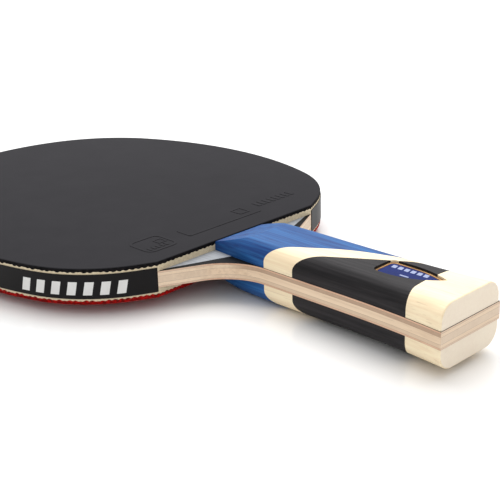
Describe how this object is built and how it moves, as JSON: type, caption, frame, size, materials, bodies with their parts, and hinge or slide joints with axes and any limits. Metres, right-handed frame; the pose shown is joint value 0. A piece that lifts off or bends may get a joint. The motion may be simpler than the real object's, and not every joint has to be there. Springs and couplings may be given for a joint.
{
  "type": "table tennis paddle",
  "caption": "Five-ply table tennis paddle with a black and a red pimpled-in rubber, edge tape, and a flared handle of blue, pale and black wood blocks with a sunk badge.",
  "frame": {"origin": "under the middle of the object's box, on the plane of the handle's underside", "axes": "+X along the long axis from the blade's tip to the handle's butt; +Z out of the black rubber; +Y across the blade"},
  "size_m": [0.2572, 0.1504, 0.0222],
  "materials": {
    "core_wood": "unfinished long-grain wood, sanded",
    "veneer_wood": "cross-grain veneer edge, sanded",
    "face_wood": "thin face veneer",
    "sponge": "fine cream foam",
    "black_rubber": "matt black",
    "red_rubber": "deep red, slightly glossy",
    "tape": "satin black film",
    "blue_wood": "blue-dyed wood, satin lacquer",
    "pale_wood": "pale wood, satin lacquer",
    "black_wood": "black-dyed wood, satin lacquer",
    "gilt": "satin gilt",
    "badge_blue": "gloss blue"
  },
  "bodies": {
    "root": {"core_ply": "core_wood", "upper_inner_veneer": "veneer_wood", "lower_inner_veneer": "veneer_wood", "upper_face_veneer": "face_wood", "lower_face_veneer": "face_wood", "upper_sponge": "sponge", "lower_sponge": "sponge", "black_topsheet": "black_rubber", "red_topsheet": "red_rubber", "edge_tape": "tape", "upper_blue_block": "blue_wood", "lower_blue_block": "blue_wood", "upper_pale_stripe": "pale_wood", "lower_pale_stripe": "pale_wood", "upper_black_block": "black_wood", "lower_black_block": "black_wood", "upper_butt_block": "pale_wood", "lower_butt_block": "pale_wood", "badge_rim": "gilt", "badge_plate": "badge_blue"}
  },
  "joints": []
}
